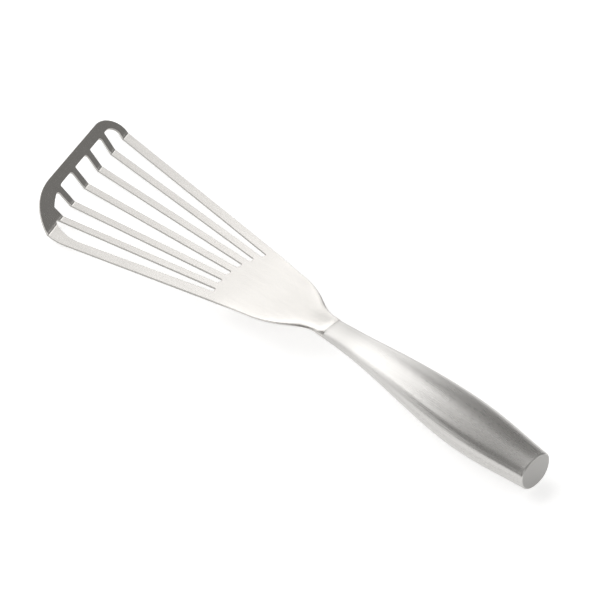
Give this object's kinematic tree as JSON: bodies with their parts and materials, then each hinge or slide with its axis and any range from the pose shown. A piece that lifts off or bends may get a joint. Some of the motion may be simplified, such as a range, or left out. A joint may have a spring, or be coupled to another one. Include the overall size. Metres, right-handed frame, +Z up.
{
  "type": "fish spatula",
  "caption": "All-steel fish spatula: fanned slotted head with a slanted turned-up lip, welded to a hollow handle with a flat end.",
  "frame": {"origin": "bottom centre of the bounding box, on the table that the spatula lies on", "axes": "+X along the spatula from the lip towards the handle's end, +Y across towards the longer side of the lip, +Z up"},
  "size_m": [0.3184, 0.0826, 0.0202],
  "materials": {
    "blade_steel": "satin",
    "handle_steel": "satin brushed along",
    "cap_steel": "satin",
    "weld_steel": "ground flush"
  },
  "bodies": {
    "root": {"slotted_head": "blade_steel", "neck_block": "blade_steel", "neck_weld": "weld_steel", "handle_upper_shell": "handle_steel", "handle_lower_shell": "handle_steel", "seam_weld_left": "weld_steel", "seam_weld_right": "weld_steel", "cap_weld": "weld_steel", "end_cap": "cap_steel"}
  },
  "joints": []
}
